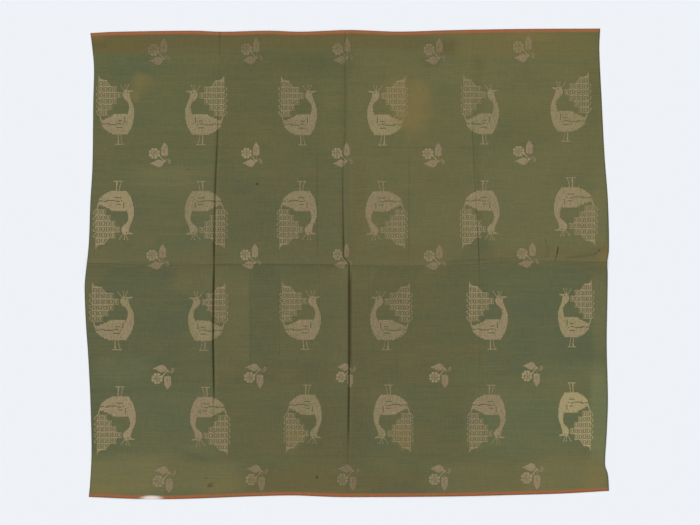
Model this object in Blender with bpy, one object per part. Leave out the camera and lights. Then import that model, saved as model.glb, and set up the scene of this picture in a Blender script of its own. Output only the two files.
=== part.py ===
"""Brocade panel: one loom-width length of figured silk, laid face up and flat on a surface.

Metres, +Z up. X runs along the warp and Y across the loom, from selvedge to selvedge. The
origin is on the surface, under the middle of the panel's box. The cloth was stored folded in
quarters, so its old folds still stand up: two as tucks, where the cloth rises to a narrow
slit and dips into it, and two as low ridges. Between them it lies flat on the surface.
"""

from bisect import bisect_right
from collections import namedtuple

import bmesh
import bpy

# Driving dimensions

CLOTH_THICKNESS = 0.0012  # of the sheet, measured straight up
LOOM_WIDTH = 0.900  # from selvedge to selvedge, along Y
CUT_LENGTH = 0.990  # from end to end, along X

FOLD_REACH = 0.040  # how far to each side of its line a fold lifts the cloth
FOLD_STEPS = (-0.040, -0.020, -0.009, -0.0035, 0.0, 0.0035, 0.009, 0.020, 0.040)

COLUMNS_BETWEEN_FOLDS = (4, 3, 3, 4)  # mesh lines in each flat strip, left to right
ROWS_BETWEEN_FOLDS = (8, 8)  # mesh lines in each flat strip, bottom to top

# The wavy outline: how far each edge stands out from the straight cut, at places along it

EdgePoint = namedtuple("EdgePoint", "along out")

TOP_EDGE = (
    EdgePoint(-0.495, -0.0035),
    EdgePoint(-0.450, -0.0012),
    EdgePoint(-0.296, 0.0010),
    EdgePoint(-0.240, -0.0010),
    EdgePoint(-0.153, 0.0010),
    EdgePoint(-0.089, -0.0010),
    EdgePoint(0.006, 0.0022),
    EdgePoint(0.100, -0.0007),
    EdgePoint(0.200, 0.0020),
    EdgePoint(0.330, 0.0043),
    EdgePoint(0.490, 0.0051),
)
BOTTOM_EDGE = (
    EdgePoint(-0.499, 0.0009),
    EdgePoint(-0.406, 0.0047),
    EdgePoint(-0.317, 0.0047),
    EdgePoint(-0.187, 0.0000),
    EdgePoint(-0.106, -0.0020),
    EdgePoint(-0.020, 0.0010),
    EdgePoint(0.157, 0.0005),
    EdgePoint(0.297, -0.0022),
    EdgePoint(0.416, -0.0056),
    EdgePoint(0.507, -0.0108),
)
LEFT_EDGE = (
    EdgePoint(-0.451, 0.0043),
    EdgePoint(-0.428, 0.0020),
    EdgePoint(-0.364, -0.0010),
    EdgePoint(-0.264, 0.0012),
    EdgePoint(-0.178, 0.0055),
    EdgePoint(-0.115, 0.0099),
    EdgePoint(-0.051, 0.0123),
    EdgePoint(-0.025, 0.0111),
    EdgePoint(0.000, 0.0078),
    EdgePoint(0.046, 0.0039),
    EdgePoint(0.121, 0.0012),
    EdgePoint(0.187, -0.0027),
    EdgePoint(0.317, -0.0045),
    EdgePoint(0.380, -0.0058),
    EdgePoint(0.423, -0.0019),
    EdgePoint(0.447, 0.0012),
)
RIGHT_EDGE = (
    EdgePoint(-0.440, 0.0123),
    EdgePoint(-0.407, 0.0100),
    EdgePoint(-0.389, 0.0045),
    EdgePoint(-0.325, 0.0078),
    EdgePoint(-0.264, 0.0100),
    EdgePoint(-0.151, 0.0078),
    EdgePoint(-0.022, 0.0096),
    EdgePoint(0.003, 0.0084),
    EdgePoint(0.027, 0.0121),
    EdgePoint(0.123, 0.0100),
    EdgePoint(0.209, 0.0036),
    EdgePoint(0.317, -0.0020),
    EdgePoint(0.414, -0.0065),
    EdgePoint(0.454, -0.0051),
)

# The folds. A line is where the fold runs, and strength is how much of its full rise it has.

LinePoint = namedtuple("LinePoint", "along at")
StrengthPoint = namedtuple("StrengthPoint", "along share")
ProfilePoint = namedtuple("ProfilePoint", "across rise")
Fold = namedtuple("Fold", "name line strength profile")

TUCK = (
    ProfilePoint(0.0, 0.0002),
    ProfilePoint(0.0035, 0.0026),
    ProfilePoint(0.009, 0.0030),
    ProfilePoint(0.020, 0.0014),
    ProfilePoint(0.040, 0.0),
)
RIDGE = (
    ProfilePoint(0.0, 0.0024),
    ProfilePoint(0.0035, 0.0020),
    ProfilePoint(0.009, 0.0012),
    ProfilePoint(0.020, 0.0004),
    ProfilePoint(0.040, 0.0),
)

QUARTER_FOLD = Fold(
    "quarter fold",
    line=(
        LinePoint(-0.452, -0.2565),
        LinePoint(-0.256, -0.2568),
        LinePoint(-0.150, -0.2583),
        LinePoint(-0.028, -0.2571),
        LinePoint(0.135, -0.2546),
        LinePoint(0.260, -0.2494),
        LinePoint(0.451, -0.2455),
    ),
    strength=(
        StrengthPoint(-0.452, 0.0),
        StrengthPoint(-0.330, 0.1),
        StrengthPoint(-0.256, 0.7),
        StrengthPoint(-0.028, 1.0),
        StrengthPoint(0.135, 0.8),
        StrengthPoint(0.260, 0.5),
        StrengthPoint(0.340, 0.1),
        StrengthPoint(0.451, 0.0),
    ),
    profile=TUCK,
)
MIDDLE_FOLD = Fold(
    "middle fold",
    line=(
        LinePoint(-0.452, 0.0032),
        LinePoint(-0.325, 0.0034),
        LinePoint(-0.225, 0.0045),
        LinePoint(-0.006, 0.0045),
        LinePoint(0.002, 0.0032),
        LinePoint(0.011, -0.0050),
        LinePoint(0.027, -0.0058),
        LinePoint(0.170, -0.0071),
        LinePoint(0.260, -0.0026),
        LinePoint(0.451, -0.0026),
    ),
    strength=(
        StrengthPoint(-0.452, 0.1),
        StrengthPoint(-0.360, 0.3),
        StrengthPoint(-0.325, 0.8),
        StrengthPoint(-0.100, 1.0),
        StrengthPoint(0.000, 1.0),
        StrengthPoint(0.120, 0.5),
        StrengthPoint(0.260, 0.3),
        StrengthPoint(0.451, 0.3),
    ),
    profile=TUCK,
)
THREE_QUARTER_FOLD = Fold(
    "three-quarter fold",
    line=(
        LinePoint(-0.448, 0.2565),
        LinePoint(-0.186, 0.2567),
        LinePoint(0.007, 0.2557),
        LinePoint(0.143, 0.2487),
        LinePoint(0.257, 0.2437),
        LinePoint(0.452, 0.2432),
    ),
    strength=(
        StrengthPoint(-0.448, 0.0),
        StrengthPoint(-0.186, 0.3),
        StrengthPoint(0.007, 0.9),
        StrengthPoint(0.257, 0.7),
        StrengthPoint(0.452, 0.2),
    ),
    profile=RIDGE,
)
HALF_HEIGHT_FOLD = Fold(
    "half-height fold",
    line=(
        LinePoint(-0.503, -0.0005),
        LinePoint(-0.450, -0.0010),
        LinePoint(-0.405, -0.0030),
        LinePoint(-0.325, -0.0045),
        LinePoint(-0.245, -0.0025),
        LinePoint(-0.050, -0.0030),
        LinePoint(0.050, -0.0048),
        LinePoint(0.180, -0.0045),
        LinePoint(0.260, -0.0012),
        LinePoint(0.330, 0.0048),
        LinePoint(0.400, 0.0040),
        LinePoint(0.507, 0.0012),
    ),
    strength=(
        StrengthPoint(-0.503, 1.0),
        StrengthPoint(-0.300, 0.7),
        StrengthPoint(0.000, 0.6),
        StrengthPoint(0.300, 0.6),
        StrengthPoint(0.507, 1.0),
    ),
    profile=RIDGE,
)
UPRIGHT_FOLDS = (QUARTER_FOLD, MIDDLE_FOLD, THREE_QUARTER_FOLD)

# The finish

SILK_COLOUR = (0.135, 0.150, 0.080, 1.0)
SILK_ROUGHNESS = 0.55


def clear_scene():
    for obj in list(bpy.data.objects):
        bpy.data.objects.remove(obj, do_unlink=True)


def along(table, place):
    """The second column of a table, at a place in its first, on a smooth curve through its rows."""
    places = [row[0] for row in table]
    last = len(table) - 1
    first = max(0, min(last - 1, bisect_right(places, place) - 1))

    def slope(row):
        before, after = table[max(row - 1, 0)], table[min(row + 1, last)]
        return (after[1] - before[1]) / (after[0] - before[0])

    (start, low), (end, high) = table[first], table[first + 1]
    span = end - start
    t = min(max((place - start) / span, 0.0), 1.0)
    return (
        (1 + 2 * t) * (1 - t) ** 2 * low
        + t * (1 - t) ** 2 * span * slope(first)
        + t**2 * (3 - 2 * t) * high
        - t**2 * (1 - t) * span * slope(first + 1)
    )


def straight(table, place):
    """As along(), but on straight lines from row to row, and level past the ends."""
    for (start, low), (end, high) in zip(table, table[1:]):
        if place <= end:
            t = max((place - start) / (end - start), 0.0)
            return low + (high - low) * t
    return table[-1][1]


def stations(start, fold_lines, end, fills):
    """Places of the mesh lines from start to end: close together about each fold, then evenly spread."""
    places, low = [start], start
    for line, fill in zip((*fold_lines, None), fills):
        high = end if line is None else line - FOLD_REACH
        places += [low + (high - low) * n / (fill + 1) for n in range(1, fill + 1)]
        places += [end] if line is None else [line + step for step in FOLD_STEPS]
        low = high + 2 * FOLD_REACH
    return places


def columns_at(y):
    """Where the mesh's columns cross the height y."""
    left = -CUT_LENGTH / 2 - along(LEFT_EDGE, y)
    right = CUT_LENGTH / 2 + along(RIGHT_EDGE, y)
    lines = [along(fold.line, y) for fold in UPRIGHT_FOLDS]
    return stations(left, lines, right, COLUMNS_BETWEEN_FOLDS)


def rows_at(x):
    """Where the mesh's rows cross the length x."""
    bottom = -LOOM_WIDTH / 2 - along(BOTTOM_EDGE, x)
    top = LOOM_WIDTH / 2 + along(TOP_EDGE, x)
    lines = [along(HALF_HEIGHT_FOLD.line, x)]
    return stations(bottom, lines, top, ROWS_BETWEEN_FOLDS)


def fold_rise(fold, distance_along, place_across):
    across = abs(place_across - along(fold.line, distance_along))
    share = max(along(fold.strength, distance_along), 0.0)
    return share * straight(fold.profile, across)


def lift(x, y):
    """How far the folds hold the cloth's underside off the surface."""
    rises = [fold_rise(fold, y, x) for fold in UPRIGHT_FOLDS]
    return max(*rises, fold_rise(HALF_HEIGHT_FOLD, x, y))


def silk_material():
    material = bpy.data.materials.new("green silk")
    material.use_nodes = True
    shader = material.node_tree.nodes["Principled BSDF"]
    shader.inputs["Base Color"].default_value = SILK_COLOUR
    shader.inputs["Roughness"].default_value = SILK_ROUGHNESS
    shader.inputs["Metallic"].default_value = 0.0
    return material


def place_grid_points(sheet, half_side, column_count, row_count):
    """Moves each point of a square grid to where its column and row cross on the cloth."""
    level_columns, level_rows = columns_at(0.0), rows_at(0.0)
    for point in sheet.verts:
        column = round((point.co.x / half_side + 1) / 2 * (column_count - 1))
        row = round((point.co.y / half_side + 1) / 2 * (row_count - 1))
        x, y = level_columns[column], level_rows[row]
        for _ in range(3):  # a column leans with height and a row with length, so they settle
            y = rows_at(x)[row]
            x = columns_at(y)[column]
        point.co = (x, y, lift(x, y))


def brocade_panel():
    """The cloth's underside as one sheet, given its thickness straight up."""
    column_count, row_count = len(columns_at(0.0)), len(rows_at(0.0))
    half_side = 0.5
    sheet = bmesh.new()
    bmesh.ops.create_grid(
        sheet, x_segments=column_count - 1, y_segments=row_count - 1, size=half_side
    )
    place_grid_points(sheet, half_side, column_count, row_count)
    bmesh.ops.triangulate(sheet, faces=sheet.faces)
    raised = bmesh.ops.extrude_face_region(sheet, geom=sheet.faces[:])["geom"]
    top_points = [item for item in raised if isinstance(item, bmesh.types.BMVert)]
    bmesh.ops.translate(sheet, verts=top_points, vec=(0, 0, CLOTH_THICKNESS))
    bmesh.ops.recalc_face_normals(sheet, faces=sheet.faces)
    mesh = bpy.data.meshes.new("brocade_panel")
    sheet.to_mesh(mesh)
    sheet.free()
    panel = bpy.data.objects.new("brocade_panel", mesh)
    bpy.context.scene.collection.objects.link(panel)
    mesh.materials.append(silk_material())
    return panel


clear_scene()
brocade_panel()
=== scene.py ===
"""Looks of a brocade panel: green shot silk with woven orange selvedges, figured with rows of
gold peacocks and flower sprigs, laid flat with its old storage folds still standing.

Metres, +Z up. X runs along the warp and Y across the loom. The file is laid out as a Blender
add-on: the sizes and colours are properties, each group of like pieces has its operator, and
a panel in the 3D view's sidebar lists them.
"""

from collections import namedtuple

import bmesh
import bpy
import numpy as np
from bpy.props import FloatProperty, FloatVectorProperty, PointerProperty
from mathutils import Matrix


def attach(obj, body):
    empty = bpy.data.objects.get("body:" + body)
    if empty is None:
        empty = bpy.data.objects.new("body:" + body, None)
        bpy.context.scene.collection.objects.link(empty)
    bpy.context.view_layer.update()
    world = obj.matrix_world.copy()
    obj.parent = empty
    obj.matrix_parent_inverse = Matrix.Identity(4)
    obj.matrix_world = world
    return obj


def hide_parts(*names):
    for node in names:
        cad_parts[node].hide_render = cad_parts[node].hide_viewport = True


bl_info = {
    "name": "Brocade Panel",
    "version": (1, 0, 0),
    "blender": (4, 5, 0),
    "location": "3D Viewport > Sidebar > Brocade",
    "description": "Lays a panel of figured silk, with its peacocks and flower sprigs",
    "category": "Add Mesh",
}

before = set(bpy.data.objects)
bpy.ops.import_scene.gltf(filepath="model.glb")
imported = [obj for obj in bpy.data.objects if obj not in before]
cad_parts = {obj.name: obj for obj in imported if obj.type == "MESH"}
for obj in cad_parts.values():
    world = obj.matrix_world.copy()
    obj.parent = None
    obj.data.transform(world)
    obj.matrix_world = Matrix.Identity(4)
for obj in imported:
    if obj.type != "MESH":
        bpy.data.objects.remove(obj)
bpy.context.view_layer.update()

SOLID = "brocade_panel"
BODY = "root"
BAKE_MAP = "OFBake"
MAP_TILES = (3, 2)  # a row's figures share one map, each in a tile of its own


# --- The cloth's outline and folds, in metres, as on the solid ---

# An edge is rows of (along it, how far out), a fold's line of (along, where it lies), its strength
# and painted shade of (along, share of the whole), the shade's width of (along, width), and a
# profile of (across, rise). The painted shade darkens the fold's line, for the shadow in it.
Fold = namedtuple("Fold", "name line strength profile soil soil_width")


def named_rows(kind, *values):
    """Each group of values as one named row of a table."""
    return tuple(kind(*row) for row in values)


TOP_EDGE = (
    (-0.495, -0.0035), (-0.450, -0.0012), (-0.296, 0.0010), (-0.240, -0.0010), (-0.153, 0.0010),
    (-0.089, -0.0010), (0.006, 0.0022), (0.100, -0.0007), (0.200, 0.0020), (0.330, 0.0043),
    (0.490, 0.0051),
)
BOTTOM_EDGE = (
    (-0.499, 0.0009), (-0.406, 0.0047), (-0.317, 0.0047), (-0.187, 0.0000), (-0.106, -0.0020),
    (-0.020, 0.0010), (0.157, 0.0005), (0.297, -0.0022), (0.416, -0.0056), (0.507, -0.0108),
)
LEFT_EDGE = (
    (-0.451, 0.0043), (-0.428, 0.0020), (-0.364, -0.0010), (-0.264, 0.0012), (-0.178, 0.0055),
    (-0.115, 0.0099), (-0.051, 0.0123), (-0.025, 0.0111), (0.000, 0.0078), (0.046, 0.0039),
    (0.121, 0.0012), (0.187, -0.0027), (0.317, -0.0045), (0.380, -0.0058), (0.423, -0.0019),
    (0.447, 0.0012),
)
RIGHT_EDGE = (
    (-0.440, 0.0123), (-0.407, 0.0100), (-0.389, 0.0045), (-0.325, 0.0078), (-0.264, 0.0100),
    (-0.151, 0.0078), (-0.022, 0.0096), (0.003, 0.0084), (0.027, 0.0121), (0.123, 0.0100),
    (0.209, 0.0036), (0.317, -0.0020), (0.414, -0.0065), (0.454, -0.0051),
)

# Across a fold, from its line outwards. A tuck is a slit between two soft shoulders, and a
# ridge stands up with only a nick along its top.
TUCK = (
    (0.0, 0.0), (0.0005, 0.0002), (0.0011, 0.0010), (0.0018, 0.0021), (0.0028, 0.0028),
    (0.0050, 0.0031), (0.0090, 0.0029), (0.0200, 0.0014), (0.0400, 0.0),
)
RIDGE = (
    (0.0, 0.0016), (0.0007, 0.0020), (0.0016, 0.0022), (0.0035, 0.0020), (0.0090, 0.0012),
    (0.0200, 0.0004), (0.0400, 0.0),
)

QUARTER_FOLD = Fold(
    "quarter fold",
    line=(
        (-0.452, -0.2565), (-0.256, -0.2568), (-0.150, -0.2583), (-0.028, -0.2571), (0.135, -0.2546),
        (0.260, -0.2494), (0.451, -0.2455),
    ),
    strength=(
        (-0.452, 0.0), (-0.330, 0.1), (-0.256, 0.7), (-0.028, 1.0), (0.135, 0.8), (0.260, 0.5),
        (0.340, 0.1), (0.451, 0.0),
    ),
    profile=TUCK,
    soil=(
        (-0.452, 0.00), (-0.272, 0.05), (-0.254, 0.45), (-0.230, 0.88), (-0.150, 0.94), (-0.100, 0.84),
        (-0.050, 0.86), (-0.010, 0.96), (0.030, 0.85), (0.060, 0.62), (0.255, 0.52), (0.270, 0.20),
        (0.390, 0.06), (0.410, 0.26), (0.451, 0.32),
    ),
    soil_width=(
        (-0.452, 0.0022), (-0.262, 0.0022), (-0.235, 0.0029), (-0.010, 0.0036), (0.050, 0.0028),
        (0.260, 0.0024), (0.390, 0.0024), (0.451, 0.0044),
    ),
)
MIDDLE_FOLD = Fold(
    "middle fold",
    line=(
        (-0.452, 0.0032), (-0.325, 0.0034), (-0.225, 0.0045), (-0.006, 0.0045), (0.002, 0.0032),
        (0.011, -0.0050), (0.027, -0.0058), (0.170, -0.0071), (0.260, -0.0026), (0.451, -0.0026),
    ),
    strength=(
        (-0.452, 0.1), (-0.360, 0.3), (-0.325, 0.8), (-0.100, 1.0), (0.000, 1.0), (0.120, 0.5),
        (0.260, 0.3), (0.451, 0.3),
    ),
    profile=TUCK,
    soil=(
        (-0.452, 0.05), (-0.340, 0.10), (-0.318, 0.50), (-0.270, 0.70), (-0.200, 0.74), (-0.150, 0.82),
        (0.002, 0.80), (0.012, 0.60), (0.080, 0.38), (0.170, 0.25), (0.260, 0.16), (0.451, 0.15),
    ),
    soil_width=(
        (-0.452, 0.0026), (-0.318, 0.0028), (-0.200, 0.0032), (-0.005, 0.0034), (0.010, 0.0028),
        (0.150, 0.0026), (0.451, 0.0024),
    ),
)
THREE_QUARTER_FOLD = Fold(
    "three-quarter fold",
    line=(
        (-0.448, 0.2565), (-0.186, 0.2567), (0.007, 0.2557), (0.143, 0.2487), (0.257, 0.2437),
        (0.452, 0.2432),
    ),
    strength=(
        (-0.448, 0.0), (-0.186, 0.3), (0.007, 0.9), (0.257, 0.7), (0.452, 0.2),
    ),
    profile=RIDGE,
    soil=(
        (-0.448, 0.00), (-0.186, 0.08), (-0.020, 0.14), (0.000, 0.35), (0.010, 0.52), (0.064, 0.50),
        (0.078, 0.20), (0.160, 0.16), (0.200, 0.30), (0.257, 0.28), (0.280, 0.06), (0.452, 0.04),
    ),
    soil_width=(
        (-0.448, 0.0024), (0.452, 0.0024),
    ),
)
HALF_HEIGHT_FOLD = Fold(
    "half-height fold",
    line=(
        (-0.503, -0.0005), (-0.450, -0.0010), (-0.405, -0.0030), (-0.325, -0.0045), (-0.245, -0.0025),
        (-0.050, -0.0030), (0.050, -0.0048), (0.180, -0.0045), (0.260, -0.0012), (0.330, 0.0048),
        (0.400, 0.0040), (0.507, 0.0012),
    ),
    strength=(
        (-0.503, 1.0), (-0.300, 0.7), (0.000, 0.6), (0.300, 0.6), (0.507, 1.0),
    ),
    profile=RIDGE,
    soil=(
        (-0.503, 0.10), (-0.280, 0.12), (-0.250, 0.24), (-0.050, 0.28), (0.100, 0.16), (0.200, 0.12),
        (0.300, 0.06), (0.507, 0.10),
    ),
    soil_width=(
        (-0.503, 0.0060), (0.507, 0.0060),
    ),
)
UPRIGHT_FOLDS = (QUARTER_FOLD, MIDDLE_FOLD, THREE_QUARTER_FOLD)

# The mesh's lines: close about a fold, close at the edges, and evenly spread between
FOLD_HALF_STEPS = (
    0.0005, 0.0011, 0.0018, 0.0028, 0.0042, 0.0065, 0.010, 0.015, 0.022, 0.030, 0.040,
)  # fmt: skip
EDGE_STEPS = (0.0, 0.0008, 0.0020, 0.0040, 0.0070, 0.0110)
COLUMNS_BETWEEN_FOLDS = (31, 27, 27, 31)
ROWS_BETWEEN_FOLDS = (64, 64)


def along(table, place):
    """The second column of a table at places in its first, on a smooth curve through its rows."""
    at, value = (np.array(column, float) for column in zip(*table))
    place = np.clip(np.asarray(place, float), at[0], at[-1])
    before = np.maximum(np.arange(len(at)) - 1, 0)
    after = np.minimum(np.arange(len(at)) + 1, len(at) - 1)
    slope = (value[after] - value[before]) / (at[after] - at[before])
    row = np.clip(np.searchsorted(at, place, side="right") - 1, 0, len(at) - 2)
    span = at[row + 1] - at[row]
    t = (place - at[row]) / span
    return (
        (1 + 2 * t) * (1 - t) ** 2 * value[row]
        + t * (1 - t) ** 2 * span * slope[row]
        + t**2 * (3 - 2 * t) * value[row + 1]
        - t**2 * (1 - t) * span * slope[row + 1]
    )


def straight(table, place):
    """As along(), but on straight lines from row to row."""
    at, value = zip(*table)
    return np.interp(place, at, value)


def smooth_step(value, low, high):
    t = np.clip((value - low) / (high - low), 0, 1)
    return t * t * (3 - 2 * t)


def edge_lines(sizes, x, y):
    """Where the outline lies: left and right at heights y, bottom and top at lengths x."""
    return (
        -sizes.cut_length / 2 - along(LEFT_EDGE, y),
        sizes.cut_length / 2 + along(RIGHT_EDGE, y),
        -sizes.loom_width / 2 - along(BOTTOM_EDGE, x),
        sizes.loom_width / 2 + along(TOP_EDGE, x),
    )


Station = namedtuple("Station", "before after share offset")


def stations(fold_count, fills):
    """Recipes for the mesh's lines between two edges, numbered 0 and fold_count + 1, and the folds."""
    reach = FOLD_HALF_STEPS[-1]
    places = [Station(0, 0, 0, step) for step in EDGE_STEPS]
    for strip, fill in enumerate(fills):
        clear_before = reach if strip else EDGE_STEPS[-1]
        clear_after = reach if strip < fold_count else EDGE_STEPS[-1]
        for n in range(1, fill + 1):
            share = n / (fill + 1)
            offset = clear_before * (1 - share) - clear_after * share
            places.append(Station(strip, strip + 1, share, offset))
        if strip < fold_count:
            fold = strip + 1
            places += [Station(fold, fold, 0, -step) for step in reversed(FOLD_HALF_STEPS)]
            places += [Station(fold, fold, 0, step) for step in (0.0, *FOLD_HALF_STEPS)]
    last = fold_count + 1
    return places + [Station(last, last, 0, -step) for step in reversed(EDGE_STEPS)]


def line_places(lines, recipes):
    """Where each recipe's line lies, given the edges' and folds' places at each point."""
    placed = [
        lines[r.before] + (lines[r.after] - lines[r.before]) * r.share + r.offset
        for r in recipes
    ]
    return np.array(placed)


def lattice(sizes):
    """X and Y of every mesh point, by row and column."""
    columns = stations(len(UPRIGHT_FOLDS), COLUMNS_BETWEEN_FOLDS)
    rows = stations(1, ROWS_BETWEEN_FOLDS)
    x = np.tile(np.linspace(-0.5, 0.5, len(columns)), (len(rows), 1)) * sizes.cut_length
    y = np.zeros_like(x)
    row, column = np.indices(x.shape)
    for _ in range(4):  # a column leans with height and a row with length, so they settle
        _, _, bottom, top = edge_lines(sizes, x, y)
        lines = [bottom, along(HALF_HEIGHT_FOLD.line, x), top]
        y = line_places(lines, rows)[row, row, column]
        left, right, _, _ = edge_lines(sizes, x, y)
        lines = [left, *(along(fold.line, y) for fold in UPRIGHT_FOLDS), right]
        x = line_places(lines, columns)[column, row, column]
    return x, y


def fold_places(x, y):
    """Each fold, with how far points are from its line and how far along it they are."""
    for fold in UPRIGHT_FOLDS:
        yield fold, np.abs(x - along(fold.line, y)), y
    yield HALF_HEIGHT_FOLD, np.abs(y - along(HALF_HEIGHT_FOLD.line, x)), x


# Short puckers beside the folds: from one end to the other, with their height and half width
Pucker = namedtuple("Pucker", "x0 y0 x1 y1 rise half_width")

PUCKERS = named_rows(
    Pucker,
    (0.408, 0.030, 0.403, 0.002, 0.0014, 0.007), (0.384, 0.050, 0.388, 0.030, 0.0008, 0.006),
    (-0.462, -0.002, -0.380, 0.012, 0.0007, 0.012), (0.330, 0.395, 0.400, 0.350, 0.0006, 0.016),
    (0.380, 0.330, 0.455, 0.255, 0.0006, 0.018), (-0.310, -0.360, -0.265, -0.385, 0.0008, 0.012),
    (-0.180, 0.330, -0.120, 0.250, 0.0005, 0.016),
)


def distance_to_run(x, y, x0, y0, x1, y1):
    """How far points are from a straight run between two points, and how far along it, 0 to 1."""
    dx, dy = x1 - x0, y1 - y0
    t = np.clip(((x - x0) * dx + (y - y0) * dy) / (dx * dx + dy * dy), 0, 1)
    return np.hypot(x - x0 - t * dx, y - y0 - t * dy), t


def slack(x, y):
    """Long low waves, as cloth that isn't pulled tight has between its folds."""
    waves = (
        np.sin(19 * x + 7 * y + 0.6)
        + np.sin(-11 * x + 23 * y + 2.1)
        + 0.7 * np.sin(31 * x - 17 * y + 4.0)
        + 0.5 * np.sin(44 * y + 9 * x + 1.3)
    )
    return 0.00022 * np.maximum(waves, 0)


def lift(x, y):
    """How far the folds, puckers and waves hold the cloth's underside off the surface."""
    rise = slack(x, y)
    for pucker in PUCKERS:
        off, t = distance_to_run(x, y, *pucker[:4])
        ends = np.sin(np.pi * np.clip(t, 0.02, 0.98)) ** 0.6
        rise = rise + pucker.rise * ends * (1 - smooth_step(off, 0, pucker.half_width))
    for fold, off, distance in fold_places(x, y):
        strength = np.maximum(along(fold.strength, distance), 0)
        near = 1 - smooth_step(off, 0, FOLD_HALF_STEPS[-1])
        raised = strength * along(fold.profile, off)
        rise = np.maximum(raised, rise * (1 - near * np.minimum(strength, 1)))
    return rise


# --- Tones of the dye, stains, and painted shade along the folds, in metres on the cloth ---

# Each patch is laid over those before it, fading out at its border over a share of its size.
# Brown runs from 0, green, to 1; light is against the ground's mean; yellow is how far it has aged.
Patch = namedtuple("Patch", "x y half_length half_height fade brown light yellow")

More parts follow.
